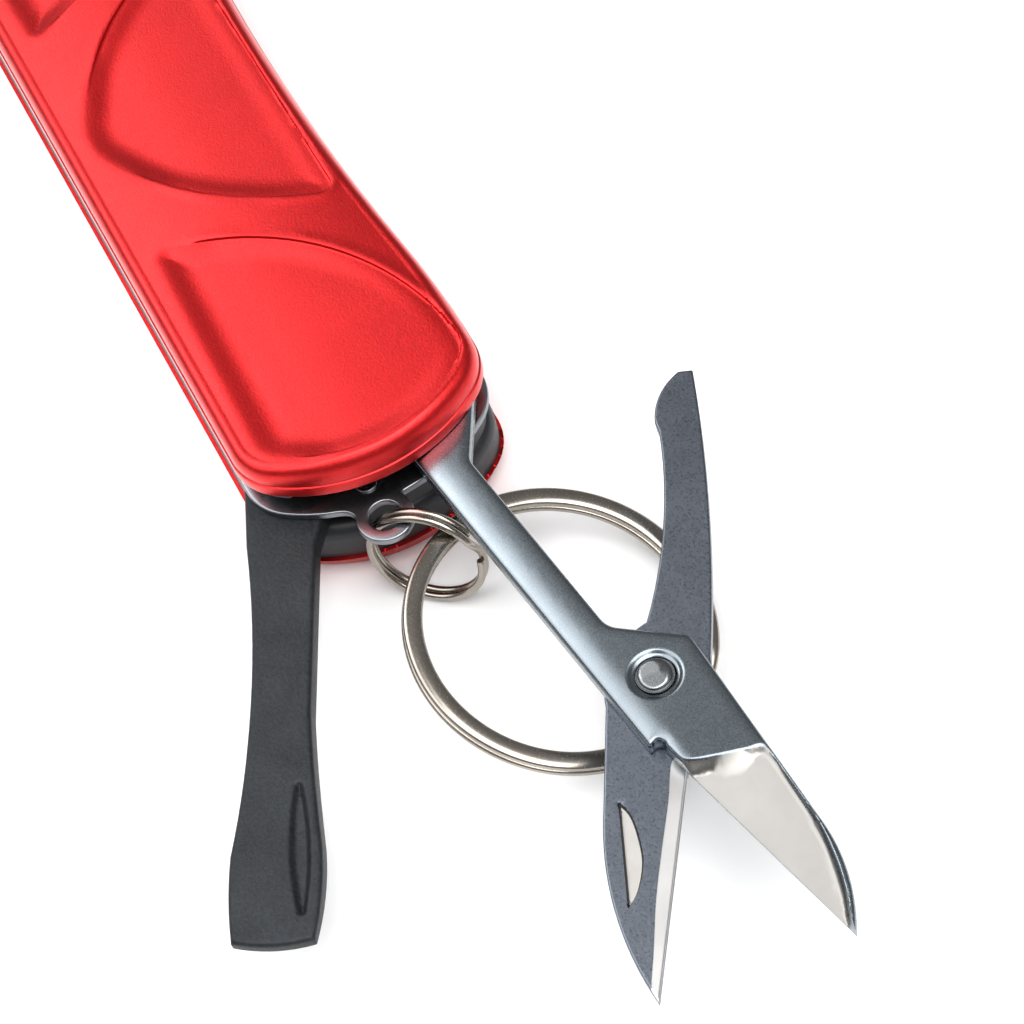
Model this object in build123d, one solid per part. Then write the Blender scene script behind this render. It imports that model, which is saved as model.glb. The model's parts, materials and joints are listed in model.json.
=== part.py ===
from build123d import *
import os
from math import atan2, cos, degrees, hypot, radians, sin

# A pocket multi tool: a red two-scale handle with scissors and a flat driver
# unfolded at one end, a knife blade folded in from the other, and a key ring
# on a small split ring through the liner's lug.
# +X runs along the handle to the scissors end and +Z goes up through the
# stack.  The origin is the centre of the rear scale's flat resting side.

# ---- handle outline (mm) ----
HALF_LENGTH = 42.0
WAIST_Y = 8.9           # half width at the middle of the opening side
FLARE_START = (24.0, 10.15)
FLARE_END = (37.6, 10.5)
BACK_Y = -10.8          # the straight back side
BACK_END_X = 37.0
CORNER_R = 5.0

# ---- stack levels (mm above the resting side) ----
REAR_RIM = 2.0
INSERT_TOP = 5.8
LINER_BOTTOM, LINER_TOP = 8.2, 8.9
FRONT_RIM = 11.9
FRONT_TOP = 15.1
GAP = 0.1               # running gap above and below each tool
SCALE_WALL = 1.4
FRONT_ROOF, REAR_ROOF = 1.8, 1.25
FRONT_ROUND, REAR_ROUND = 1.2, 1.5
CORE_INSET, CORE_ROUND = 0.3, 1.3
SPACER_INSET = 0.8
SEAT = 0.05             # play where a core sits in its shell
PANEL_DEPTH = 0.7

LOW_TOOL = (INSERT_TOP + GAP, LINER_BOTTOM - GAP)
LEVER_LEVEL = (LINER_TOP + GAP, 10.25)
HALF_LEVEL = (10.3, FRONT_RIM - GAP)

# ---- pivots and fasteners (mm) ----
PIN_R = 1.1
PIN_PLAY = 0.04
PIN_FOOT, PIN_HEAD = 2.2, 13.0
SCISSORS_PIVOT = (36.5, 4.8)
DRIVER_PIVOT = (33.5, -6.2)
KNIFE_PIVOT = (-36.0, 5.0)
BODY_RIVETS = [(-36.0, -6.0), (-26.0, -6.6)]
SPRING_RIVETS = [(-14.0, -7.6), (0.0, -7.6)]
CENTRE_RIVET = (0.0, -0.6)
LINER_RIVET = (39.6, -2.1)
RIVET_R, SHANK_R = 0.9, 0.54

# ---- springs (mm) ----
SLIT = 0.5
SPRING_BASE = HALF_LEVEL[0] + 0.05
SPRING_FOOT_X = (-21.5, 5.5)
SPRING_Y = (-9.9, -5.6)

# ---- scissors (mm) ----
BLADE_PIVOT = (68.2, 8.7)
TANG_R = 4.3
HALF_TIP = (93.2, 10.95)
HALF_HEEL = (73.5, 6.5)
LEVER_TIP = (90.3, -3.2)
LEVER_HEEL = (75.5, 7.2)
POCKET_R, POCKET_DEPTH = 2.0, 0.45
DOME_R = 1.3

# ---- driver and knife (mm) ----
DRIVER_ANGLE = -28.0    # the pose that it rests at, degrees from +X
DRIVER_TANG_R = 4.0
DRIVER_LENGTH = 41.6
KNIFE_TIP = (21.0, 4.2)
KNIFE_LEVEL = (6.0, 7.9)

# ---- rings (mm) ----
LUG = (43.1, -2.1)
LUG_R, LUG_HOLE_R = 2.35, 1.34
SMALL_CENTRE = (45.74, -0.47, 5.06)
SMALL_NORMAL = (0.732, -0.657, 0.182)
SMALL_R, SMALL_WIRE = 4.62, 0.68
KEY_CENTRE = (57.07, 5.57, 4.56)
KEY_NORMAL = (0.148, 0.269, 0.952)
KEY_R, KEY_BAND, KEY_WIRE = 11.61, 1.55, 0.8

os.makedirs("parts", exist_ok=True)


def slab(face, low, high):
    """A flat face in XY raised into a plate between two levels."""
    return extrude(Pos(0, 0, low) * face, high - low)


def rod(centre, radius, low, high):
    """An upright round bar, for pins, rivets and the holes they fill."""
    return slab(Pos(*centre) * Circle(radius), low, high)


def box(x_span, y_span, low, high):
    """An upright rectangular block from its X and Y spans."""
    width, depth = x_span[1] - x_span[0], y_span[1] - y_span[0]
    middle = ((x_span[0] + x_span[1]) / 2, (y_span[0] + y_span[1]) / 2)
    return slab(Pos(*middle) * Rectangle(width, depth), low, high)


def region(*edges):
    """A face from a closed chain of edges."""
    return make_face(Wire(list(edges)))


def corner_fillet(face, places):
    """Round the corners of a face nearest to each (x, y), with its radius."""
    for x, y, radius in places:
        corner = min(face.vertices(), key=lambda v: hypot(v.X - x, v.Y - y))
        face = fillet(corner, radius)
    return face


def save(node, shape):
    """Write one sub-part under its own name."""
    shape.label = node
    export_step(shape, f"parts/{node}.step")
    print(node, "volume", round(shape.volume, 2))


# ---------------------------------------------------------------- handle


def handle_outline(inset=0.0):
    """The plan of the handle: straight back, waisted front, bowed ends."""
    sx, sy = FLARE_START
    ex, ey = FLARE_END
    waist = ThreePointArc((-sx, sy), (0, WAIST_Y), (sx, sy))
    flare = TangentArc((sx, sy), (ex, ey), tangent=waist % 1)
    far_flare = TangentArc((-sx, sy), (-ex, ey), tangent=(waist % 0) * -1)
    end = ThreePointArc((ex, ey), (HALF_LENGTH, 0), (BACK_END_X, BACK_Y))
    far_end = ThreePointArc((-ex, ey), (-HALF_LENGTH, 0), (-BACK_END_X, BACK_Y))
    back = Line((BACK_END_X, BACK_Y), (-BACK_END_X, BACK_Y))
    face = region(waist, flare, end, back, far_end, far_flare)
    corners = [(ex, ey), (BACK_END_X, BACK_Y), (-ex, ey), (-BACK_END_X, BACK_Y)]
    face = corner_fillet(face, [(x, y, CORNER_R) for x, y in corners])
    return offset(face, amount=-inset) if inset else face


def end_panel():
    """The drop-shaped dished panel at the scissors end."""
    tip, foot, head = (13.7, -7.9), (36.5, -8.5), (35.8, 9.7)
    face = region(
        Line(tip, foot),
        ThreePointArc(foot, (40.5, 0.3), head),
        ThreePointArc(head, (21.5, 4.4), tip),
    )
    return corner_fillet(face, [(*tip, 1.0), (*foot, 3.2), (*head, 3.0)])


def middle_panel():
    """The fan-shaped dished panel between the two end panels."""
    right, left, foot = (16.6, 7.6), (-16.6, 7.6), (0, -8.2)
    face = region(
        Line(left, right),
        ThreePointArc(right, (11.6, -1.0), foot),
        ThreePointArc(foot, (-11.6, -1.0), left),
    )
    return corner_fillet(face, [(*foot, 6.0), (*right, 1.0), (*left, 1.0)])


def scale_shell(depth, roof, edge_round):
    """A red shell standing on its rim, hollow below, with dished panels."""
    shell = slab(handle_outline(), 0, depth)
    top = shell.faces().sort_by(Axis.Z)[-1]
    shell = fillet(top.edges(), edge_round)
    for panel in (end_panel(), middle_panel(), mirror(end_panel(), Plane.YZ)):
        shell -= slab(panel, depth - PANEL_DEPTH, depth + 1)
    return shell - slab(handle_outline(SCALE_WALL), 0, depth - roof)


def front_scale():
    """The upper red shell."""
    depth = FRONT_TOP - FRONT_RIM
    return Pos(0, 0, FRONT_RIM) * scale_shell(depth, FRONT_ROOF, FRONT_ROUND)


def rear_scale():
    """The lower red shell, turned over in Z, with a lower and rounder rim."""
    shell = scale_shell(REAR_RIM, REAR_ROOF, REAR_ROUND)
    return Pos(0, 0, REAR_RIM) * mirror(shell, Plane.XY)


def front_insert():
    """The black core that fills the front shell and takes the pin heads."""
    plan = handle_outline(SCALE_WALL + 0.1)
    core = slab(plan, FRONT_RIM + SEAT, FRONT_TOP - FRONT_ROOF - SEAT)
    through = [SCISSORS_PIVOT, KNIFE_PIVOT]
    for centre in through:
        core -= rod(centre, PIN_R, 0, PIN_HEAD)
    for centre in BODY_RIVETS + SPRING_RIVETS:
        core -= rod(centre, RIVET_R, 0, PIN_HEAD)
    return core


def rear_insert():
    """The round-edged black core over the rear shell, under the lower tools."""
    plate = slab(handle_outline(CORE_INSET), REAR_RIM, INSERT_TOP)
    top = plate.faces().sort_by(Axis.Z)[-1]
    plate = fillet(top.edges(), CORE_ROUND)
    plate += slab(handle_outline(SCALE_WALL + 2 * SEAT), REAR_ROOF + SEAT, REAR_RIM)
    for centre in (SCISSORS_PIVOT, DRIVER_PIVOT, KNIFE_PIVOT):
        plate -= rod(centre, PIN_R, PIN_FOOT, FRONT_TOP)
    for centre in [*BODY_RIVETS, CENTRE_RIVET]:
        plate -= rod(centre, RIVET_R, PIN_FOOT, FRONT_TOP)
    return plate - rod(LINER_RIVET, SHANK_R, PIN_FOOT, FRONT_TOP)


def mid_liner():
    """The steel plate between the two tool layers, with the ring lug."""
    neck = Pos(LUG[0] - 1.6, LUG[1]) * Rectangle(3.2, 2 * LUG_R - 0.5)
    plan = handle_outline(0.15) + neck + Pos(*LUG) * Circle(LUG_R)
    plate = slab(plan, LINER_BOTTOM, LINER_TOP)
    plate -= rod(LUG, LUG_HOLE_R, 0, FRONT_TOP)
    for centre in (SCISSORS_PIVOT, DRIVER_PIVOT, KNIFE_PIVOT):
        plate -= rod(centre, PIN_R, 0, FRONT_TOP)
    for centre in [*BODY_RIVETS, *SPRING_RIVETS, CENTRE_RIVET]:
        plate -= rod(centre, RIVET_R, 0, FRONT_TOP)
    return plate - rod(LINER_RIVET, SHANK_R, 0, FRONT_TOP)


def end_block(x_span, y_span, low, high):
    """The part of the inset handle plan that lies in a rectangle."""
    return slab(handle_outline(SPACER_INSET), low, high) & box(x_span, y_span, low, high)


def lower_end_spacer():
    """Fills the lower tool layer beside the driver's tang."""
    body = end_block((27.0, 45.0), (1.5, 12.0), INSERT_TOP, LINER_BOTTOM)
    body += end_block((38.0, 45.0), (-3.4, 1.5), INSERT_TOP, LINER_BOTTOM)
    body -= rod(SCISSORS_PIVOT, PIN_R, 0, FRONT_TOP)
    return body - rod(LINER_RIVET, SHANK_R, 0, FRONT_TOP)


def lower_back_spacer():
    """Fills the lower tool layer behind the folded driver's tip."""
    body = end_block((-45.0, -13.0), (-12.0, -2.6), INSERT_TOP, LINER_BOTTOM)
    for centre in BODY_RIVETS:
        body -= rod(centre, RIVET_R, 0, FRONT_TOP)
    return body


def upper_spacer():
    """Closes the far end of the scissors layer."""
    body = end_block((-45.0, -22.5), (-12.0, 12.0), LINER_TOP, FRONT_RIM)
    body -= rod(KNIFE_PIVOT, PIN_R, 0, FRONT_TOP)
    for centre in BODY_RIVETS:
        body -= rod(centre, RIVET_R, 0, FRONT_TOP)
    return body


def centre_spring():
    """The double-ended bar that loads the driver and knife tangs."""
    low, high = LOW_TOOL
    bar = box((-33.0, 33.0), (-2.05, 0.8), low, high)
    bar -= box((-30.0, -4.0), (-1.6, -1.6 + SLIT), low, high)
    bar -= box((4.0, 30.0), (-0.2, -0.2 + SLIT), low, high)
    return bar - rod(CENTRE_RIVET, RIVET_R, 0, FRONT_TOP)


def upper_spring():
    """The back spring of the scissors, with a finger that meets the tang."""
    low, high = SPRING_BASE, HALF_LEVEL[1]
    foot, tip, finger = SPRING_FOOT_X[0], 38.5, 34.5
    bar = end_block((foot, tip), SPRING_Y, low, high)
    bar += box((finger, tip), (-6.0, 0.3), low, high)
    bar -= box((14.0, finger), (-7.4, -5.0), low, high)
    for centre in SPRING_RIVETS:
        bar -= rod(centre, RIVET_R, 0, FRONT_TOP)
    return bar


def spring_block():
    """Carries the upper spring clear of the scissors' lever."""
    block = box(SPRING_FOOT_X, SPRING_Y, LINER_TOP, SPRING_BASE)
    for centre in SPRING_RIVETS:
        block -= rod(centre, RIVET_R, 0, FRONT_TOP)
    return block


def rivet_row(centres, low, high):
    """Identical rivets, kept together as separate solids."""
    return Compound([rod(centre, RIVET_R, low, high) for centre in centres])


def liner_rivet():
    """The small rivet by the lug, with a low round head on the liner."""
    head = rod(LINER_RIVET, 0.95, LINER_TOP, LINER_TOP + 0.22)
    rim = head.edges().sort_by(Axis.Z)[-1]
    return fillet(rim, 0.15) + rod(LINER_RIVET, SHANK_R, PIN_FOOT, LINER_TOP)


# -------------------------------------------------------------- scissors


def grind(origin, angle, rise, side):
    """A thick plate above an inclined plane through a cutting edge.

    The plane climbs by rise per mm to the left of the edge's direction, and
    side is +1 to take metal off above it, or -1 to take metal off below it.
    """
    along = Vector(cos(radians(angle)), sin(radians(angle)), 0)
    across = Vector(-along.Y, along.X, 0)
    normal = Vector(-rise * across.X, -rise * across.Y, 1).normalized()
    plane = Plane(origin=origin, x_dir=along, z_dir=normal * side)
    return extrude(plane * Rectangle(80, 60), 4)


def scissors_fixed_half():
    """The half whose arm carries the tang, pocket and ground blade."""
    low, high = HALF_LEVEL
    corner, throat, elbow = (66.8, 12.5), (62.8, 7.6), (44.0, 5.5)
    face = region(
        Line((36.6, 1.2), (73.1, 5.5)),
        Line((73.1, 5.5), HALF_HEEL),
        Line(HALF_HEEL, HALF_TIP),
        ThreePointArc(HALF_TIP, (90.3, 12.35), (85.2, 13.2)),
        Line((85.2, 13.2), corner),
        Line(corner, throat),
        Line(throat, elbow),
        Line(elbow, (38.6, 8.55)),
        Line((38.6, 8.55), (36.6, 1.2)),
    )
    face = corner_fillet(face, [(*corner, 0.7), (*throat, 2.0), (*elbow, 1.5)])
    plan = face + Pos(*SCISSORS_PIVOT) * Circle(TANG_R)
    half = slab(plan, low, high)
    half -= rod((73.55, 6.1), 0.5, low - 1, high + 1)
    half -= rod(SCISSORS_PIVOT, PIN_R + PIN_PLAY, 0, FRONT_TOP)
    half -= rod(BLADE_PIVOT, RIVET_R, 0, FRONT_TOP)
    half -= rod((BLADE_PIVOT[0] + 0.15, BLADE_PIVOT[1]), POCKET_R, high - POCKET_DEPTH, high + 1)
    angle = degrees(atan2(HALF_TIP[1] - HALF_HEEL[1], HALF_TIP[0] - HALF_HEEL[0]))
    ground = region(*Polyline((74.0, 5.0), (77.9, 13.3), (78, 18), (98, 18), (98, 5), close=True).edges())
    cutter = slab(ground, low - 1, high + 2)
    return half - (cutter & grind((*HALF_HEEL, low + 0.35), angle, 0.17, 1))


def scissors_lever():
    """The half with the bowed thumb lever and the nicked lower blade."""
    low, high = LEVER_LEVEL
    end, knuckle, waist_in, waist_out = (45.3, 24.45), (47.9, 19.6), (49.0, 19.4), (68.4, 13.15)
    face = region(
        Line(end, (44.8, 23.4)),
        ThreePointArc((44.8, 23.4), (45.55, 21.6), knuckle),
        Line(knuckle, waist_in),
        ThreePointArc(waist_in, (57.3, 15.15), (63.3, 10.5)),
        ThreePointArc((63.3, 10.5), (64.6, 6.9), (68.0, 4.5)),
        Line((68.0, 4.5), (76.0, 0.0)),
        ThreePointArc((76.0, 0.0), (83.8, -2.85), LEVER_TIP),
        Line(LEVER_TIP, LEVER_HEEL),
        ThreePointArc(LEVER_HEEL, (72.9, 10.3), waist_out),
        ThreePointArc(waist_out, (57.2, 19.28), end),
    )
    lever = slab(face, low, high)
    lever -= rod(BLADE_PIVOT, RIVET_R + PIN_PLAY, 0, FRONT_TOP)
    lever -= rod(BLADE_PIVOT, DOME_R + 0.2 + PIN_PLAY, 0, low + 0.4)
    nick = region(
        Line((75.2, 1.7), (83.0, -1.7)),
        ThreePointArc((83.0, -1.7), (79.5, 1.3), (75.2, 1.7)),
    )
    lever -= slab(nick, high - 0.35, high + 1)
    angle = degrees(atan2(LEVER_HEEL[1] - LEVER_TIP[1], LEVER_HEEL[0] - LEVER_TIP[0]))
    under = grind((*LEVER_TIP, high - 0.3), angle, -0.25, -1)
    ground = region(*Polyline((72.0, 0.0), (76.5, 9.5), (94, 3), (94, -8), (80, -8), close=True).edges())
    return lever - (under & slab(ground, low - 1, high))


def scissors_rivet():
    """The blade rivet: domed head in the pocket, flush head underneath."""
    seat = HALF_LEVEL[1] - POCKET_DEPTH
    head = rod(BLADE_PIVOT, DOME_R, seat, seat + 0.5)
    head = fillet(head.edges().sort_by(Axis.Z)[-1], 0.3)
    foot = rod(BLADE_PIVOT, DOME_R + 0.2, LEVER_LEVEL[0], LEVER_LEVEL[0] + 0.35)
    return head + foot + rod(BLADE_PIVOT, RIVET_R, LEVER_LEVEL[0], seat)


def tang_collar():
    """The collar that fills the lever's level under the scissors' tang."""
    collar = rod(SCISSORS_PIVOT, 2.6, LEVER_LEVEL[0], HALF_LEVEL[0])
    return collar - rod(SCISSORS_PIVOT, PIN_R + PIN_PLAY, 0, FRONT_TOP)


# ------------------------------------------------------- driver and knife


def flat_driver():
    """The flat screwdriver, drawn along +X from its pivot, then turned."""
    low, high = LOW_TOOL
    tip_low, tip_high = (DRIVER_LENGTH, -2.2), (DRIVER_LENGTH, 4.05)
    face = region(
        Line((0, -3.9), (8.0, -3.17)),
        ThreePointArc((8.0, -3.17), (17.0, -2.14), (25.5, -1.97)),
        ThreePointArc((25.5, -1.97), (30.5, -2.22), (34.7, -2.68)),
        ThreePointArc((34.7, -2.68), (38.2, -2.6), tip_low),
        ThreePointArc(tip_low, (42.0, 1.0), tip_high),
        ThreePointArc(tip_high, (38.2, 4.42), (34.0, 4.25)),
        ThreePointArc((34.0, 4.25), (28.5, 3.42), (23.0, 2.82)),
        Line((23.0, 2.82), (8.0, 2.45)),
        Line((8.0, 2.45), (0, 3.9)),
        Line((0, 3.9), (0, -3.9)),
    )
    blade = slab(face + Circle(DRIVER_TANG_R), low, high)
    blade -= rod((0, 0), PIN_R + PIN_PLAY, 0, FRONT_TOP)
    nick = region(
        ThreePointArc((29.2, 2.0), (34.6, 1.92), (39.4, 2.75)),
        ThreePointArc((39.4, 2.75), (39.65, 3.05), (39.3, 3.32)),
        ThreePointArc((39.3, 3.32), (34.4, 3.38), (29.2, 2.5)),
        ThreePointArc((29.2, 2.5), (29.0, 2.25), (29.2, 2.0)),
    )
    blade -= slab(nick, high - 0.45, high + 1)
    blade -= grind((32.0, 0, low), 90, -0.09, -1)
    return Pos(*DRIVER_PIVOT) * Rot(0, 0, DRIVER_ANGLE) * blade


def knife_blade():
    """The folded knife blade, spine to the opening side, edge inwards."""
    low, high = KNIFE_LEVEL
    kx, ky = KNIFE_PIVOT
    face = region(
        Line((kx, ky + 3.9), (-31.0, 8.2)),
        Line((-31.0, 8.2), (5.0, 8.2)),
        ThreePointArc((5.0, 8.2), (14.5, 7.3), KNIFE_TIP),
        ThreePointArc(KNIFE_TIP, (14.0, 2.0), (4.0, 1.5)),
        Line((4.0, 1.5), (-27.0, 1.5)),
        Line((-27.0, 1.5), (-28.5, 2.6)),
        Line((-28.5, 2.6), (kx, 1.3)),
        Line((kx, 1.3), (kx, ky + 3.9)),
    )
    blade = slab(face + Pos(kx, ky) * Circle(3.9), low, high)
    blade -= rod(KNIFE_PIVOT, PIN_R + PIN_PLAY, 0, FRONT_TOP)
    middle = (low + high) / 2
    ground = box((-27.5, 30), (0, 9), low - 1, high + 1)
    upper = grind((0, 1.5, middle + 0.12), 0, 0.2, 1)
    lower = grind((0, 1.5, middle - 0.12), 0, -0.2, -1)
    blade -= (upper + lower) & ground
    nick = region(Line((-12, 7.3), (0, 7.3)), ThreePointArc((0, 7.3), (-6, 6.2), (-12, 7.3)))
    return blade - slab(nick, high - 0.35, high + 1)


def tool_washer(centre, low, high):
    """A thin ring that keeps a tang central on its pin."""
    return rod(centre, 2.3, low, high) - rod(centre, PIN_R, 0, FRONT_TOP)


# ------------------------------------------------------------------ rings


def double_ring(centre, normal, radius, section, pitch):
    """A split ring closed flat: two turns side by side on one axis."""
    half = Pos(radius, 0) * section
    both = Pos(0, pitch / 2) * half + Pos(0, -pitch / 2) * half
    turns = revolve(Plane.XZ * both, Axis.Z)
    return Plane(origin=centre, z_dir=normal) * turns


def main():
    save("front_scale", front_scale())
    save("rear_scale", rear_scale())
    save("front_insert", front_insert())
    save("rear_insert", rear_insert())
    save("mid_liner", mid_liner())
    save("lower_end_spacer", lower_end_spacer())
    save("lower_back_spacer", lower_back_spacer())
    save("upper_spacer", upper_spacer())
    save("centre_spring", centre_spring())
    save("upper_spring", upper_spring())
    save("spring_block", spring_block())
    save("scissors_pin", rod(SCISSORS_PIVOT, PIN_R, PIN_FOOT, PIN_HEAD))
    save("driver_pin", rod(DRIVER_PIVOT, PIN_R, PIN_FOOT, LINER_TOP))
    save("knife_pin", rod(KNIFE_PIVOT, PIN_R, PIN_FOOT, PIN_HEAD))
    save("body_rivets", rivet_row(BODY_RIVETS, PIN_FOOT, PIN_HEAD))
    save("spring_rivets", rivet_row(SPRING_RIVETS, LINER_BOTTOM, PIN_HEAD))
    save("centre_rivet", rivet_row([CENTRE_RIVET], PIN_FOOT, LINER_TOP))
    save("liner_rivet", liner_rivet())
    save("knife_washer", tool_washer(KNIFE_PIVOT, KNIFE_LEVEL[1], LINER_BOTTOM))
    save("scissors_fixed_half", scissors_fixed_half())
    save("tang_collar", tang_collar())
    save("scissors_rivet", scissors_rivet())
    save("scissors_lever", scissors_lever())
    save("flat_driver", flat_driver())
    save("knife_blade", knife_blade())
    wire = Circle(SMALL_WIRE / 2)
    small = double_ring(SMALL_CENTRE, SMALL_NORMAL, SMALL_R, wire, SMALL_WIRE - 0.03)
    save("small_ring", small)
    band = RectangleRounded(KEY_BAND, KEY_WIRE, 0.25)
    save("key_ring", double_ring(KEY_CENTRE, KEY_NORMAL, KEY_R, band, KEY_WIRE - 0.03))


main()
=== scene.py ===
import json
from math import cos, pi, radians, sin

import bpy
import numpy as np
from mathutils import Matrix, Vector
from mathutils.geometry import delaunay_2d_cdt


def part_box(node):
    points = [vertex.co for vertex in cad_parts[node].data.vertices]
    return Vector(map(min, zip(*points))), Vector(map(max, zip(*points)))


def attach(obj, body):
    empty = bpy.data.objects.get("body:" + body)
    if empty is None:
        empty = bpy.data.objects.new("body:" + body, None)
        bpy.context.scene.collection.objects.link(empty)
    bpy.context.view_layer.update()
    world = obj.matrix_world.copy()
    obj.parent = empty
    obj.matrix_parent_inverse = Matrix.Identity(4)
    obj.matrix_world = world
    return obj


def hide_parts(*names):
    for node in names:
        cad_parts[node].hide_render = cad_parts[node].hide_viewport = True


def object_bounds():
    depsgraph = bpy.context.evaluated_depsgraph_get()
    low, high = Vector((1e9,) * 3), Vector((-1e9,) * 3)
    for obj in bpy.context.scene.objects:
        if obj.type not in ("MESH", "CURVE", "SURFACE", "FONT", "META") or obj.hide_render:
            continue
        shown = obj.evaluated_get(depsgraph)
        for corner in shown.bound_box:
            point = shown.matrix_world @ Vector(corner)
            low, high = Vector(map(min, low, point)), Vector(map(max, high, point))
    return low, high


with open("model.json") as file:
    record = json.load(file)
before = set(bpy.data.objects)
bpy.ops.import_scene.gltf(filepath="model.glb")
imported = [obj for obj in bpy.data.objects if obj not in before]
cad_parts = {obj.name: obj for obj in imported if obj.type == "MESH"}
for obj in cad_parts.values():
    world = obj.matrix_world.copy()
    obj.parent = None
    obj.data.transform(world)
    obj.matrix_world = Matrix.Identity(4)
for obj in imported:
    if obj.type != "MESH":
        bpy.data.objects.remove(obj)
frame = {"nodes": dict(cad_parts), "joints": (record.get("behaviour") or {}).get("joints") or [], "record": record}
CAD_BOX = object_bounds()
NODES = frame["nodes"]
SLOT_OF = {s["node"]: s["material_slot"] for s in frame["record"]["subparts"]}
MM = 0.001  # shapes are worked out in millimetres and made in metres


def in_mm(values):
    """Lengths from the frame in millimetres, to the 0.01 mm that the CAD is drawn to."""
    return [round(v / MM, 2) for v in values]


def levels(node):
    """A CAD node's lowest and highest level (mm)."""
    low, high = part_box(node)
    return in_mm((low.z, high.z))


def middle(node):
    """The centre of a CAD node's box (mm)."""
    return in_mm([(a + b) / 2 for a, b in zip(*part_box(node))])


# The plan position (mm) of each joint's axis.
AXIS_AT = {joint["name"]: np.array(in_mm(joint["pos_m"][:2])) for joint in frame["joints"]}

# ------------------------------------------------------------- materials

# A Mix node's sockets when it mixes colours.
MIX_FACTOR, MIX_A, MIX_B, MIX_RESULT = 0, 6, 7, 2


class Nodes:
    """A material's node tree, with short calls to add and link nodes."""

    def __init__(self, name, **settings):
        self.mat = bpy.data.materials.new(name)
        self.mat.use_nodes = True
        self.tree = self.mat.node_tree
        self.shader = self.tree.nodes["Principled BSDF"]
        for socket, value in settings.items():
            self.shader.inputs[socket.replace("_", " ")].default_value = value

    def add(self, kind, **values):
        node = self.tree.nodes.new("ShaderNode" + kind)
        for socket, value in values.items():
            node.inputs[socket.replace("_", " ")].default_value = value
        return node

    def link(self, a, b):
        self.tree.links.new(a, b)

    def coords(self, scale=(1, 1, 1), turn=0.0):
        """Object coordinates in millimetres, stretched by scale after a turn about Z."""
        source = self.add("TexCoord")
        mapping = self.add("Mapping", Rotation=(0, 0, turn), Scale=[s / MM for s in scale])
        self.link(source.outputs["Object"], mapping.inputs["Vector"])
        return mapping.outputs["Vector"]

    def noise(self, coords, scale, detail=4.0, rough=0.6):
        node = self.add("TexNoise", Scale=scale, Detail=detail, Roughness=rough)
        self.link(coords, node.inputs["Vector"])
        return node.outputs["Fac"]

    def ramp(self, factor, stops):
        """A colour ramp with two stops of (place, colour)."""
        node = self.add("ValToRGB")
        for element, (place, colour) in zip(node.color_ramp.elements, stops):
            element.position = place
            element.color = (*colour, 1)
        self.link(factor, node.inputs["Fac"])
        return node.outputs["Color"]

    def span(self, factor, low, high):
        """A noise's middle half, 0.25 to 0.75, mapped to low to high."""
        node = self.add("MapRange", From_Min=0.25, From_Max=0.75, To_Min=low, To_Max=high)
        self.link(factor, node.inputs["Value"])
        return node.outputs["Result"]

    def mix(self, factor, a, b):
        """A mix of two colours; each argument is a fixed value or another node's socket."""
        node = self.add("Mix")
        node.data_type = "RGBA"
        for place, value in ((MIX_FACTOR, factor), (MIX_A, a), (MIX_B, b)):
            if isinstance(value, float):
                node.inputs[place].default_value = value
            elif isinstance(value, tuple):
                node.inputs[place].default_value = (*value, 1)
            else:
                self.link(value, node.inputs[place])
        return node.outputs[MIX_RESULT]

    def bump(self, height, strength, distance):
        """A height factor into the shader's normal; distance is in millimetres."""
        node = self.add("Bump", Strength=strength, Distance=distance * MM)
        self.link(height, node.inputs["Height"])
        self.link(node.outputs["Normal"], self.shader.inputs["Normal"])

    def colour(self, socket):
        self.link(socket, self.shader.inputs["Base Color"])

    def rough(self, socket):
        self.link(socket, self.shader.inputs["Roughness"])


def red_anodised():
    """Satin red metal under a soft clear coat, with a fine pressed pebble."""
    m = Nodes("red_anodised", Metallic=0.88, Roughness=0.31, Coat_Weight=0.6, Coat_Roughness=0.34)
    pebble = m.noise(m.coords(), 5.0, 3.0, 0.7)
    broad = m.noise(m.coords(), 0.12, 3.0)
    m.colour(m.ramp(broad, [(0.3, (0.55, 0.008, 0.010)), (0.7, (0.62, 0.011, 0.013))]))
    m.rough(m.span(pebble, 0.28, 0.36))
    m.bump(pebble, 0.9, 0.035)
    return m.mat


def satin_steel(name, colour, rough, grain=(1, 1, 1), turn=0.0, bump=0.1):
    """Brushed or tumbled steel; grain stretches the brush lines and turn points them."""
    m = Nodes(name, Metallic=1.0, Roughness=rough)
    lines = m.noise(m.coords(grain, turn), 7.0, 3.0, 0.6)
    broad = m.noise(m.coords(), 0.25, 3.0)
    dark = tuple(c * 0.86 for c in colour)
    m.colour(m.mix(m.span(broad, 0, 1), dark, colour))
    m.rough(m.span(lines, rough - 0.04, rough + 0.05))
    m.bump(lines, bump, 0.006)
    return m.mat


def dark_metal(name, colour, rough, metallic, speck, bump, contrast=1.3):
    """A dark speckled finish, from plain black moulding to bead-blasted steel."""
    m = Nodes(name, Metallic=metallic, Roughness=rough)
    fine = m.noise(m.coords(), speck, 4.0, 0.75)
    broad = m.noise(m.coords(), 0.3, 3.0)
    light = tuple(c * contrast for c in colour)
    dark = tuple(c / contrast for c in colour)
    base = m.mix(m.span(fine, 0, 1), dark, light)
    m.colour(m.mix(0.3, base, m.mix(m.span(broad, 0, 1), dark, light)))
    m.rough(m.span(fine, rough - 0.08, rough + 0.1))
    m.bump(fine, bump, 0.05)
    return m.mat


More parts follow.
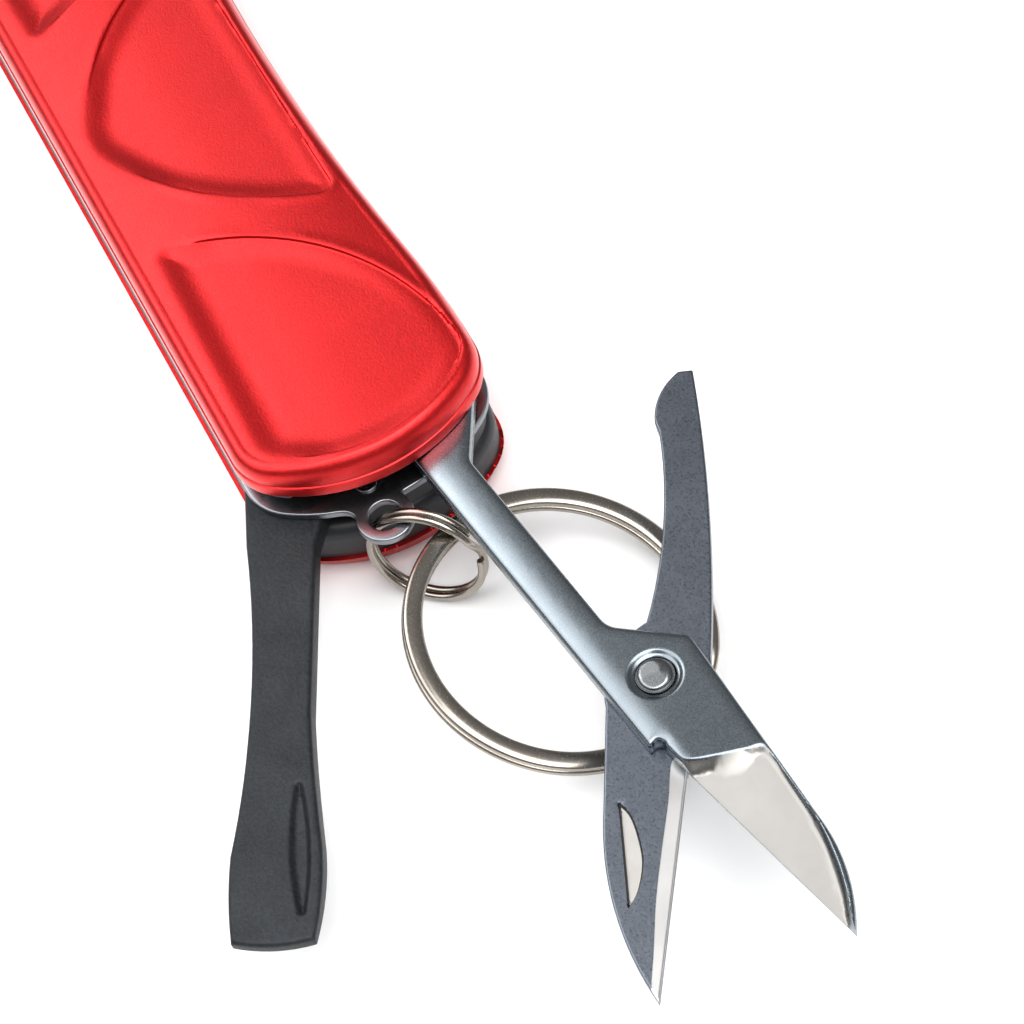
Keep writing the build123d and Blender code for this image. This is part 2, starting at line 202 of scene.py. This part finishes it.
MATERIALS = {
    "red_anodised": red_anodised(),
    "black_core": dark_metal("black_core", (0.022, 0.023, 0.026), 0.40, 0.0, 5.0, 0.15),
    "liner_steel": satin_steel("liner_steel", (0.30, 0.31, 0.33), 0.30),
    "spring_steel": satin_steel("spring_steel", (0.45, 0.45, 0.46), 0.35),
    "pin_steel": satin_steel("pin_steel", (0.27, 0.28, 0.29), 0.26),
    "scissors_steel": satin_steel("scissors_steel", (0.24, 0.27, 0.295), 0.26),
    "dark_steel": dark_metal("dark_steel", (0.15, 0.165, 0.19), 0.30, 0.95, 5.0, 0.3),
    "blasted_steel": dark_metal("blasted_steel", (0.018, 0.020, 0.023), 0.48, 0.4, 3.2, 1.0, 2.4),
    "nickel_ring": satin_steel("nickel_ring", (0.40, 0.365, 0.325), 0.24, bump=0.05),
}
# Ground and polished faces, each with its own direction of grinding lines.
EDGE = satin_steel("edge_steel", (0.62, 0.61, 0.60), 0.34, (0.3, 2.0, 1), radians(-35))
GROUND = satin_steel("ground_steel", (0.32, 0.31, 0.296), 0.36, (0.3, 2.0, 1), radians(70))
for name, node in NODES.items():
    node.data.materials.clear()
    node.data.materials.append(MATERIALS[SLOT_OF[name]])

# ----------------------------------------------------------- plan curves

LEVEL_TOLERANCE = 0.002  # how far a flat face's corners may lie off its level (mm)
CLOSE = 0.03  # points of a loop nearer than this are one point (mm)
SHORT_LOOP = 5  # loops with no more points than this are left out


def loops_at(node, level):
    """Closed loops (mm) that bound a CAD node's flat faces at one level, longest first."""
    data = NODES[node].data
    sides = set()
    for poly in data.polygons:
        points = [data.vertices[v].co * 1000 for v in poly.vertices]
        if all(abs(p.z - level) < LEVEL_TOLERANCE for p in points):
            keys = [(round(p.x, 3), round(p.y, 3)) for p in points]
            sides.update((a, b) for a, b in zip(keys, keys[1:] + keys[:1]) if a != b)
    onward = {}
    for a, b in sorted(sides):
        if (b, a) not in sides:
            onward.setdefault(a, []).append(b)
    loops = []
    while onward:
        here = start = next(iter(onward))
        loop = []
        while here in onward and (here != start or not loop):
            loop.append(here)
            following = onward[here].pop()
            if not onward[here]:
                del onward[here]
            here = following
        loops.append(np.array(loop))
    loops = [turned(loop) for loop in loops if len(loop) > SHORT_LOOP]
    return sorted(loops, key=lambda loop: -length(loop))


def length(loop):
    return float(np.linalg.norm(np.roll(loop, -1, 0) - loop, axis=1).sum())


def turned(loop):
    """The loop running counterclockwise."""
    x, y = loop[:, 0], loop[:, 1]
    return loop if (x * np.roll(y, -1) - np.roll(x, -1) * y).sum() > 0 else loop[::-1]


def divided(loop, step):
    """The loop with its long segments split, and with points that nearly coincide dropped."""
    out = []
    for a, b in zip(loop, np.roll(loop, -1, 0)):
        n = max(1, int(np.ceil(np.linalg.norm(b - a) / step)))
        out += [a + (b - a) * k / n for k in range(n)]
    kept = [out[0]]
    for p in out[1:]:
        if np.linalg.norm(p - kept[-1]) > CLOSE:
            kept.append(p)
    if np.linalg.norm(kept[0] - kept[-1]) < CLOSE:
        kept.pop()
    return np.array(kept)


def inward(loop):
    """Unit normals into a counterclockwise loop, one for each point."""
    along = np.roll(loop, -1, 0) - np.roll(loop, 1, 0)
    normal = np.stack([-along[:, 1], along[:, 0]], 1)
    return normal / np.linalg.norm(normal, axis=1)[:, None]


def depth_in(points, loop):
    """Distance of each point from a closed loop, positive inside it."""
    best = np.full(len(points), np.inf)
    inside = np.zeros(len(points), bool)
    px, py = points[:, 0], points[:, 1]
    for (ax, ay), (dx, dy) in zip(loop, np.roll(loop, -1, 0) - loop):
        t = np.clip(((px - ax) * dx + (py - ay) * dy) / (dx * dx + dy * dy), 0, 1)
        best = np.minimum(best, (px - ax - t * dx) ** 2 + (py - ay - t * dy) ** 2)
        if dy:
            inside ^= ((ay > py) != (ay + dy > py)) & (px < ax + (py - ay) * dx / dy)
    return np.where(inside, 1, -1) * np.sqrt(best)


def beyond(points, a, b):
    """Signed distance of points to the left of the line from a to b."""
    u = (b - a) / np.linalg.norm(b - a)
    return (points[:, 1] - a[1]) * u[0] - (points[:, 0] - a[0]) * u[1]


def curve(points, n=12):
    """A smooth open line through a few points (Catmull-Rom), n steps to a span."""
    before = 2 * np.array(points[0]) - points[1]
    after = 2 * np.array(points[-1]) - points[-2]
    p = np.array([before, *points, after], float)
    out = []
    for k in range(1, len(p) - 2):
        a, b, c, d = p[k - 1:k + 3]
        for t in np.arange(n) / n:
            out.append(0.5 * (2 * b + (c - a) * t + (2 * a - 5 * b + 4 * c - d) * t * t
                              + (3 * b - a - 3 * c + d) * t ** 3))
    return np.array(out + [p[-2]])


def circle(centre, radius, n=64):
    t = np.arange(n) * 2 * pi / n
    return np.stack([centre[0] + radius * np.cos(t), centre[1] + radius * np.sin(t)], 1)


# --------------------------------------------------------------- heights


def smooth(t):
    """0 to 1 with no slope at either end."""
    t = np.clip(t, 0, 1)
    return t * t * (3 - 2 * t)


def rounding(d, radius):
    """How far a surface has dropped at distance d from an edge with that radius."""
    t = np.clip(radius - d, 0, radius)
    return radius - np.sqrt(radius * radius - t * t)


def edge_insets(radius):
    """Where rings of points lie to follow a rounded edge."""
    return [radius * (1 - cos(radians(a))) for a in (20, 40, 60, 90)]


# ---------------------------------------------------------------- plates

SHARP = 38  # degrees between faces from which an edge is drawn sharp
RING_KEPT = 0.93  # a ring's point stays while it is this share of the ring's inset deep
GUIDE_KEPT = 0.05  # a guide's point stays while it is this deep (mm)
HOLE_RINGS = 4  # how many of the insets go round the holes as well
GRID_GAP = 0.3  # the gap from rings and guides to the grid, as a share of its step
WELD = 1e-5  # the triangulation's tolerance (mm)


class Plate:
    """A solid between a top and a bottom height field over one plan, with a profiled wall.

    The plan is the loop less its holes. Its points are the edges themselves, rings inside them at
    the insets, rows along each guide at its offsets, and a staggered grid over the rest.
    """

    def __init__(self, loop, holes=(), guides=(), insets=(), step=0.5, edge=0.35, margin=0.25):
        self.loop = divided(turned(loop), edge)
        self.holes = [divided(turned(h), edge) for h in holes]
        points = [self.loop, *self.holes]
        starts = np.cumsum([0, *[len(p) for p in points]])
        for inset in insets:
            points.append(self.moved(self.loop, inset, RING_KEPT * inset))
        for hole in self.holes:
            for inset in insets[:HOLE_RINGS]:
                points.append(self.moved(hole, -inset, RING_KEPT * inset))
        for guide, offsets in guides:
            line = divided(guide, edge)
            points += [self.moved(line, offset, GUIDE_KEPT) for offset in offsets]
        grid = self.grid(step)
        keep = self.deep(grid) > max([margin, *insets]) + GRID_GAP * step
        for guide, offsets in guides:
            away = depth_in(grid, divided(guide, 2 * edge))
            keep &= (away < min(offsets) - GRID_GAP * step) | (away > max(offsets) + GRID_GAP * step)
        points = np.concatenate([*points, grid[keep]])
        edges = []
        for start, end in zip(starts, starts[1:]):
            edges += [(int(k), int(k + 1 if k + 1 < end else start)) for k in range(start, end)]
        made = delaunay_2d_cdt([Vector(p) for p in points], edges, [], 0, WELD)
        places, triangles, origins = made[0], np.array(made[2]), made[3]
        self.plan = np.array([tuple(p) for p in places])
        index = {old: new for new, olds in enumerate(origins) for old in olds}
        self.rims = [[index[k] for k in range(s, e)] for s, e in zip(starts, starts[1:])]
        self.triangles = triangles[self.deep(self.plan[triangles].mean(1)) > 0]
        self.depth = np.maximum(self.deep(self.plan), 0)
        self.depth[sum(self.rims, [])] = 0
        self.outer = np.maximum(depth_in(self.plan, self.loop), 0)

    def deep(self, points):
        """Distance into the material from its nearest edge."""
        d = depth_in(points, self.loop)
        for hole in self.holes:
            d = np.minimum(d, -depth_in(points, hole))
        return d

    def moved(self, line, offset, least):
        """A loop's points moved inwards by offset, those that are still more than least deep."""
        ring = line + inward(line) * offset
        return ring[self.deep(ring) > least]

    def grid(self, step):
        """Points over the loop's box, every other row half a step along."""
        low, high = self.loop.min(0), self.loop.max(0)
        xs, ys = np.meshgrid(np.arange(low[0], high[0], step), np.arange(low[1], high[1], step))
        grid = np.stack([xs.ravel(), ys.ravel()], 1)
        grid[:, 0] += 0.5 * step * (np.round((grid[:, 1] - low[1]) / step) % 2)
        return grid

    def build(self, name, top, bottom, wall=(), flip=None, sharp=SHARP):
        """Make the piece from heights (mm) for each point of the plan.

        wall is the outline's profile from the bottom up, as (inset, height). With flip, the
        heights are mirrored: z becomes flip - z.
        """
        n = len(self.plan)
        upper = np.column_stack([self.plan, top])
        lower = np.column_stack([self.plan, bottom])
        verts = [upper, lower]
        faces = [tuple(t) for t in self.triangles] + [tuple(t[::-1] + n) for t in self.triangles]
        count = 2 * n
        for which, rim in enumerate(self.rims):
            is_outline = which == 0
            normal = inward(self.plan[rim]) * (1 if is_outline else -1)
            profile = wall if is_outline else ()
            rows = [[k + n for k in rim]]
            for inset, z in profile[1:-1]:
                verts.append(np.column_stack([self.plan[rim] + normal * inset, np.full(len(rim), z)]))
                rows.append(list(range(count, count + len(rim))))
                count += len(rim)
            rows.append(rim)
            if profile:
                for side, (inset, z) in ((lower, profile[0]), (upper, profile[-1])):
                    side[rim, :2] += normal * inset
                    side[rim, 2] = z
            for under, over in zip(rows, rows[1:]):
                for k in range(len(rim)):
                    j = (k + 1) % len(rim)
                    quad = (under[k], under[j], over[j], over[k])
                    faces.append(quad if is_outline else quad[::-1])
        points = np.concatenate(verts)
        if flip is not None:
            points[:, 2] = flip - points[:, 2]
            faces = [f[::-1] for f in faces]
        return piece(name, points, faces, sharp)


def piece(name, points, faces, sharp):
    """A new object from points in millimetres."""
    mesh = bpy.data.meshes.new(name)
    verts = [tuple(p) for p in np.asarray(points) * MM]
    mesh.from_pydata(verts, [], [tuple(int(i) for i in f) for f in faces])
    mesh.validate()
    mesh.polygons.foreach_set("use_smooth", [True] * len(mesh.polygons))
    mesh.set_sharp_from_angle(angle=radians(sharp))
    mesh.update()
    obj = bpy.data.objects.new(name, mesh)
    bpy.context.scene.collection.objects.link(obj)
    return obj


def finish_piece(obj, body, node, extra_materials=()):
    """Give the piece its slot's material and let it stand for its CAD node."""
    for material in (MATERIALS[SLOT_OF[node]], *extra_materials):
        obj.data.materials.append(material)
    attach(obj, body)
    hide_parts(node)


def paint(obj, choose):
    """Give each face the material slot chosen from its centre (mm) and normal."""
    n = len(obj.data.polygons)
    centres, normals = np.zeros(3 * n, np.float32), np.zeros(3 * n, np.float32)
    obj.data.polygons.foreach_get("center", centres)
    obj.data.polygons.foreach_get("normal", normals)
    chosen = choose(centres.reshape(-1, 3) * 1000.0, normals.reshape(-1, 3))
    obj.data.polygons.foreach_set("material_index", chosen.astype(np.int32))


# ---------------------------------------------------------------- scales

PANEL_FLOOR = 0.7  # how far the CAD panels' flat floors lie below the crown (mm)
PANELS = 3
LONGEST_PANEL = 100  # the panels' loops are shorter than this, the scale's own are longer (mm)
LIP = 1.35  # width of the rounded rim
LIP_FLAT = 0.12  # width of the rim's outermost part, where it has dropped all the way
SHELL_WALL = 1.4
CROWN = 0.5  # how far the scale falls from its middle line to its long edges
MIDDLE_Y, HALF_WIDTH = 0.5, 9.6
CRISP_Y, CRISP_SPAN = -6.4, 3.4  # the panels' edges turn from soft to crisp past this line
STEP = 0.26  # height of a panel's crisp edge
DISH = 0.26  # how much further a panel sinks towards its middle
PANEL_OFFSETS = (-0.5, -0.25, -0.1, 0.0, 0.08, 0.16, 0.3, 0.5, 0.8, 1.2, 1.7, 2.3)
RIM_INSETS = (0.18, 0.26, 0.38, 0.52, 0.7, 0.9, 1.1, 1.3, 1.42, 1.5)


def scale_surface(plate, panels, depth, edge_drop):
    """Heights of a scale's outer face: a rounded rim, a gentle crown and dished panels."""
    d, y = plate.outer, plate.plan[:, 1]
    t = np.clip((LIP - d) / (LIP - LIP_FLAT), 0, 1)
    across = (y - MIDDLE_Y) / HALF_WIDTH
    crisp = smooth((y - CRISP_Y) / CRISP_SPAN)
    soft = 1 - crisp
    top = depth - edge_drop * (1 - np.sqrt(1 - t * t)) - CROWN * across ** 2 * (1 - t)
    for panel in panels:
        p = depth_in(plate.plan, panel)
        # A low ridge outside the edge, the edge's own step, and the dish inside it.
        swell = 0.05 * np.exp(-((p + 0.35) / 0.35) ** 2) * crisp * smooth(d / 1.0)
        step = STEP * crisp * smooth((p + 0.02) / 0.12)
        bowl = (DISH + 0.22 * soft) * smooth((p + 0.6 * soft) / (2.0 + 0.8 * soft))
        bowl -= CROWN * 0.8 * np.clip(across, 0, 1) ** 2 * smooth(p / 2.0)
        top = top + np.minimum(swell, depth - top) - (step + bowl) * smooth(d / 0.9)
    return top


def scale_piece(name, roof, edge_drop, underneath):
    """A red shell with a hollow inner side; the one underneath faces down."""
    low, high = levels(name)
    depth = round(high - low, 2)
    rim_level, panel_level = (high, low + PANEL_FLOOR) if underneath else (low, high - PANEL_FLOOR)
    outline = loops_at(name, rim_level)[0]
    panels = [p for p in loops_at(name, panel_level) if length(p) < LONGEST_PANEL][:PANELS]
    plate = Plate(outline, guides=[(p, PANEL_OFFSETS) for p in panels],
                  insets=RIM_INSETS[4:] if underneath else RIM_INSETS, step=0.45)
    top = scale_surface(plate, panels, depth, edge_drop)
    bottom = np.where(plate.outer < SHELL_WALL, 0.0, depth - roof)
    crease = depth - edge_drop  # where the wall meets the rounded rim
    if underneath:
        wall = [(0.0, 0.0), (0.0, 0.04), (0.12, crease * 0.4), (0.45, crease)]
        obj = plate.build(name + "_shell", top, bottom, wall, flip=high)
    else:
        wall = [(0.0, 0.0), (0.0, 0.05), (0.0, crease - 0.28), (0.03, crease - 0.2),
                (0.13, crease - 0.14), (0.12, crease)]
        obj = plate.build(name + "_shell", top, bottom, wall)
        obj.data.transform(Matrix.Translation((0, 0, rim_level * MM)))
    finish_piece(obj, "handle", name)


scale_piece("front_scale", roof=1.8, edge_drop=1.95, underneath=False)
scale_piece("rear_scale", roof=1.25, edge_drop=1.5, underneath=True)

# -------------------------------------------------------------- scissors

BLADE_PIVOT = AXIS_AT["lever_close"]
POCKET = circle(BLADE_PIVOT + (0.15, 0), 2.0)  # the sunk ring round the rivet
HALF_HEEL, HALF_TIP = np.array((73.5, 6.5)), np.array((93.2, 10.95))  # the fixed half's edge
LEVER_TIP, LEVER_HEEL = np.array((90.3, -3.2)), np.array((75.5, 7.2))  # the lever's edge
# The line where the fixed half's ground face starts: across the blade, then along its spine.
GRIND = [(73.2, 6.2), (74.6, 6.62), (75.7, 7.5), (76.45, 9.4), (77.1, 11.4), (77.7, 12.75),
         (80.7, 12.88), (84.5, 12.92), (87.5, 12.55), (90.0, 11.95), (92.0, 11.2), (93.6, 10.7)]
GRIND_CLOSE = [(95.0, 9.0), (80.0, 2.0), (73.5, 4.0)]  # round outside the cutting edge
# The lever's thumbnail nick: a straight side and a bulging one.
NICK_CHORD = (np.array((75.2, 1.7)), np.array((83.0, -1.7)))
NICK_BULGE = [(83.0, -1.7), (82.1, -0.35), (80.4, 0.95), (78.4, 1.65), (76.6, 1.95), (75.2, 1.7)]
# The inner side of the bright strip along the lever's cutting edge.
STRIP = [(74.2, 7.2), (74.75, 6.3), (77.1, 4.8), (80.3, 2.5), (83.4, 0.35), (86.7, -1.65),
         (89.6, -3.5)]
STRIP_CLOSE = [(93.0, -4.0), (80.0, 8.0), (75.5, 9.5)]
GRIND_LIFT, GRIND_SLOPE = 0.3, 0.175  # the ground plane: height at the edge and rise per mm


def tang_pillow(plate):
    """How far the top rolls off: broadly along the tang's -Y side, and a little at every edge."""
    # The tang's lower side in plan, carried straight on past where the plate widens.
    facing_up = inward(plate.loop)[:, 1] > 0.4
    side = plate.loop[facing_up & (plate.loop[:, 0] < 72.9)]
    before, last = side[np.argsort(side[:, 0])][[-8, -1]]
    side = np.concatenate([side, [last + (last - before) * k * 0.2 for k in range(1, 16)]])
    from_side = np.array([np.linalg.norm(side - p, axis=1).min() for p in plate.plan])
    fade = 1 - smooth((plate.plan[:, 0] - 73.6) / 1.4)
    broad = 0.24 * fade * np.clip(1 - from_side / 2.1, 0, 1) ** 2
    return broad + 0.08 * np.clip(1 - plate.outer / 0.9, 0, 1) ** 2


def fixed_half():
    """The long half: pillowed tang, sunk pocket round the rivet and a flat ground blade."""
    low, high = levels("scissors_fixed_half")
    outline, *holes = loops_at("scissors_fixed_half", low)
    ground = np.concatenate([curve(GRIND), GRIND_CLOSE])
    plate = Plate(outline, holes, step=0.4, edge=0.25,
                  guides=[(ground, (-0.15, -0.05, 0.05, 0.13, 0.2, 0.3, 0.42, 0.56, 0.72, 0.9, 1.1)),
                          (POCKET, (-0.25, -0.12, 0.0, 0.12, 0.25, 0.38, 0.45, 0.52))],
                  insets=(0.03, 0.08, 0.16, 0.28, 0.45, 0.7, 1.0, 1.35))
    plan = plate.plan
    top = high - rounding(plate.outer, 0.28) - tang_pillow(plate)
    sunk = depth_in(plan, POCKET)
    top -= 0.26 * smooth((sunk + 0.12) / 0.42) + 0.75 * smooth((sunk - 0.42) / 0.1)
    from_edge = np.clip(beyond(plan, HALF_HEEL, HALF_TIP), 0, 9)
    plane = low + GRIND_LIFT + GRIND_SLOPE * from_edge
    width = 0.32 + 0.6 * (1 - smooth((plan[:, 0] - 76.5) / 3))
    share = smooth((depth_in(plan, ground) + 0.06) / width)
    top = np.minimum(top, top * (1 - share) + plane * share)
    bottom = low + rounding(plate.depth, 0.05)
    obj = plate.build("scissors_fixed_plate", top, bottom, sharp=70)
    finish_piece(obj, "scissors", "scissors_fixed_half", [GROUND])

    def is_ground(centres, normals):
        return (normals[:, 2] > 0.1) & (depth_in(centres[:, :2], ground) > 0.2)

    paint(obj, is_ground)


def lever():
    """The thumb half: a thumbnail nick, a bright strip above and a blade ground from below."""
    low, high = levels("scissors_lever")
    outline = loops_at("scissors_lever", high)[0]
    holes = [h for h in loops_at("scissors_lever", low)[1:] if length(h) < 12][:1]
    heel, tip = NICK_CHORD
    nick = np.concatenate([curve(NICK_BULGE, 6), [heel + (tip - heel) * k / 10 for k in range(1, 10)]])
    strip = np.concatenate([curve(STRIP), STRIP_CLOSE])
    plate = Plate(outline, holes, step=0.4, edge=0.25,
                  guides=[(nick, (-0.08, -0.02, 0.04, 0.12, 0.3, 0.6)), (strip, (-0.1, 0.0, 0.12, 0.3))],
                  insets=(0.02, 0.06, 0.12, 0.2, 0.32))
    plan = plate.plan
    top = high - rounding(plate.outer, 0.13)
    into = depth_in(plan, nick)
    from_chord = np.abs(beyond(plan, heel, tip))
    top -= np.where(into > 0, 0.34 * np.clip(1.05 - from_chord / 2.3, 0.0, 1), 0) * smooth(into / 0.08)
    top -= 0.20 * np.clip(depth_in(plan, strip) - 0.02, 0, 2)
    # The blade's underside rises to a thin edge, and never reaches the top.
    from_edge = np.clip(-beyond(plan, LEVER_TIP, LEVER_HEEL), 0, 9)
    plane = np.minimum(high - 0.75, high - 0.3 - 0.25 * from_edge)
    on_blade = (plan[:, 0] > 75.5) & (plan[:, 1] < 7)
    bottom = low + rounding(plate.outer, 0.08)
    bottom = np.where(on_blade, np.maximum(bottom, plane), bottom)
    bottom = np.minimum(bottom, top - 0.02)
    obj = plate.build("scissors_lever_plate", top, bottom)
    finish_piece(obj, "lever", "scissors_lever", [GROUND, EDGE])

    def polished(centres, normals):
        upper = (normals[:, 2] > 0.3) & (centres[:, 2] > 9.4)
        in_nick = depth_in(centres[:, :2], nick) > 0.06
        in_strip = depth_in(centres[:, :2], strip) > 0.03
        return upper * np.where(in_nick, 1, np.where(in_strip, 2, 0))

    paint(obj, polished)


def blade_rivet():
    """The domed rivet head with two hammered facets, and its foot."""
    seat = 11.36
    head = Plate(circle(BLADE_PIVOT, 1.3, 72), step=0.12, edge=0.15, insets=edge_insets(0.28), margin=0.1)
    x, y = (head.plan - BLADE_PIVOT).T
    dome = 11.84 - 0.085 * (x * x + y * y) - rounding(head.outer, 0.26)
    facet = 11.80 - 0.13 * (0.8 * x - 0.6 * y)
    other = 11.79 + 0.10 * (0.6 * x + 0.5 * y)
    top = np.minimum(np.minimum(dome, facet), other)
    obj = head.build("scissors_rivet_head", top, np.full(len(x), seat))
    finish_piece(obj, "scissors", "scissors_rivet")
    foot = Plate(circle(BLADE_PIVOT, 1.5, 72), step=0.3, edge=0.2, insets=edge_insets(0.2), margin=0.1)
    bottom = levels("scissors_rivet")[0] + rounding(foot.outer, 0.2)
    obj = foot.build("scissors_rivet_foot", np.full(len(foot.plan), seat), bottom)
    obj.data.materials.append(MATERIALS["pin_steel"])
    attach(obj, "scissors")


fixed_half()
lever()
blade_rivet()

# ------------------------------------------------------ driver and liner


def driver():
    """The flat driver: rounded edges, a soft fuller, and a tip that thins from both sides."""
    low, high = levels("flat_driver")
    outline, *inner = loops_at("flat_driver", high)
    holes = [h for h in inner if length(h) < 9]
    fuller = next(h for h in inner if length(h) > 15)
    plate = Plate(outline, holes, step=0.45, edge=0.3,
                  guides=[(fuller, (-0.3, -0.18, -0.08, 0.0, 0.1, 0.22, 0.36, 0.5))],
                  insets=(0.02, 0.07, 0.15, 0.26, 0.4, 0.6))
    turn = radians(-28)  # the way the driver points from its pin
    along = (plate.plan - AXIS_AT["driver_fold"]) @ np.array((cos(turn), sin(turn)))
    top = high - rounding(plate.outer, 0.36)
    top -= 0.42 * smooth((depth_in(plate.plan, fuller) + 0.2) / 0.6)
    top -= 0.03 * np.clip(along - 38.0, 0, 5)
    bottom = low + rounding(plate.outer, 0.2) + 0.09 * np.clip(along - 32.0, 0, 12)
    finish_piece(plate.build("flat_driver_blade", top, bottom), "driver", "flat_driver")


def liner():
    """The middle liner, with the corners relaxed where its lug runs into the plate."""
    low, high = levels("mid_liner")
    outline, *holes = loops_at("mid_liner", high)
    outline = divided(turned(outline), 0.2)
    from_lug = np.linalg.norm(outline - AXIS_AT["small_ring_swing"], axis=1)
    near = (smooth((from_lug - 2.42) / 0.3) * smooth((4.8 - from_lug) / 1.2))[:, None]
    for _ in range(26):
        relaxed = (np.roll(outline, 1, 0) + np.roll(outline, -1, 0)) / 2
        outline = outline + near * 0.6 * (relaxed - outline)
    plate = Plate(outline, holes, step=0.9, edge=0.3, insets=(0.03, 0.08, 0.15))
    top = high - rounding(plate.depth, 0.14)
    bottom = low + rounding(plate.depth, 0.08)
    finish_piece(plate.build("liner_plate", top, bottom), "handle", "mid_liner")


driver()
liner()

# ----------------------------------------------------------------- rings

SECTION_POINTS = 28
TURN_STEPS = 340
CUT_TAPER, CUT_LENGTH = 0.18, 0.05  # how much, and over what angle, the cut ends thin


def signed_power(value, power):
    return abs(value) ** power * (1 if value >= 0 else -1)


def split_ring(node, normal, radius, band, wire, power, start, jog):
    """A strip coiled through two turns, with a sideways jog and two cut ends.

    The section is a superellipse, band wide and wire thick. start and jog are angles.
    """
    centre, normal = Vector(middle(node)), Vector(normal).normalized()
    u = normal.cross(Vector((0.3, 0.5, 0.8))).normalized()
    v = normal.cross(u)
    angles = [2 * pi * k / SECTION_POINTS for k in range(SECTION_POINTS)]
    section = [(band / 2 * signed_power(cos(a), 2 / power), wire / 2 * signed_power(sin(a), 2 / power))
               for a in angles]
    end = 4 * pi - jog
    turns = np.linspace(0, end, TURN_STEPS)
    points = []
    for t in turns:
        side = -wire / 2 + wire * smooth((t - 2 * pi + jog) / jog)
        taper = 1 - CUT_TAPER * (1 - smooth(min(t, end - t) / CUT_LENGTH))
        spoke = cos(t + start) * u + sin(t + start) * v
        for r, h in section:
            points.append(centre + spoke * (radius + r * taper) + normal * (side + h * taper * 0.985))
    n = SECTION_POINTS
    faces = []
    for k in range(0, (TURN_STEPS - 1) * n, n):
        for j in range(n):
            i = (j + 1) % n
            faces.append((k + j, k + i, k + n + i, k + n + j))
    faces.append(tuple(reversed(range(n))))
    faces.append(tuple(range((TURN_STEPS - 1) * n, TURN_STEPS * n)))
    obj = piece(node.replace("ring", "split_ring"), points, faces, sharp=50)
    finish_piece(obj, node, node)


split_ring("small_ring", (0.732, -0.657, 0.182), radius=4.62, band=0.68, wire=0.66, power=2.0,
           start=4.4, jog=0.5)
split_ring("key_ring", (0.148, 0.269, 0.952), radius=11.61, band=1.55, wire=0.79, power=2.7,
           start=4.75, jog=0.3)

# ------------------------------------------------------ camera and light

TARGET = Vector((0.0484, 0.0065, 0.009))
CAMERA_AT = Vector((0.16786, -0.02020, 0.19749))
RIGHT = Vector((0.45042, 0.87817, -0.16105)).normalized()
FORWARD = (TARGET - CAMERA_AT).normalized()
UP = RIGHT.cross(FORWARD)
FLOOR_HALF = 5.0
FLOOR_GAP = 0.0002  # keeps the floor clear of the scale that lies on it
AIM = (0.05, 0.0, 0.0)


def add_camera():
    data = bpy.data.cameras.new("camera")
    data.sensor_width = 36
    data.lens = 101.95
    data.clip_start, data.clip_end = 0.01, 10
    camera = bpy.data.objects.new("camera", data)
    turn = Matrix((RIGHT, UP, -FORWARD)).transposed()
    camera.matrix_world = Matrix.Translation(CAMERA_AT) @ turn.to_4x4()
    bpy.context.scene.collection.objects.link(camera)
    bpy.context.scene.camera = camera


def add_floor():
    mesh = bpy.data.meshes.new("floor")
    s = FLOOR_HALF
    mesh.from_pydata([(-s, -s, 0), (s, -s, 0), (s, s, 0), (-s, s, 0)], [], [(0, 1, 2, 3)])
    floor = bpy.data.objects.new("floor", mesh)
    floor.location.z = CAD_BOX[0].z - FLOOR_GAP
    bpy.context.scene.collection.objects.link(floor)
    m = Nodes("floor", Roughness=0.9)
    patches = m.noise(m.coords((0.01, 0.01, 0.01)), 3.0)
    m.colour(m.ramp(patches, [(0.3, (0.93, 0.93, 0.93)), (0.7, (0.96, 0.96, 0.96))]))
    mesh.materials.append(m.mat)


def add_world(strength):
    world = bpy.data.worlds.new("world")
    world.use_nodes = True
    background = world.node_tree.nodes["Background"]
    background.inputs["Color"].default_value = (1, 1, 1, 1)
    background.inputs["Strength"].default_value = strength
    bpy.context.scene.world = world


def area(name, place, size, power):
    """A soft box at place, pointed at the handle."""
    data = bpy.data.lights.new(name, "AREA")
    data.shape = "RECTANGLE"
    data.size, data.size_y = size
    data.energy = power
    lamp = bpy.data.objects.new(name, data)
    lamp.location = place
    lamp.rotation_mode = "QUATERNION"
    lamp.rotation_quaternion = (Vector(AIM) - Vector(place)).to_track_quat("-Z", "Y")
    bpy.context.scene.collection.objects.link(lamp)


add_camera()
add_floor()
add_world(0.26)
area("key", (-0.12, -0.36, 0.60), (0.8, 0.6), 3.2)
area("panel", (-0.42, -0.14, 0.50), (0.42, 0.3), 0.95)
area("fill", (0.36, 0.12, 0.84), (0.8, 0.8), 8.5)
bpy.context.scene.view_settings.view_transform = "Standard"
bpy.context.scene.view_settings.look = "Medium High Contrast"
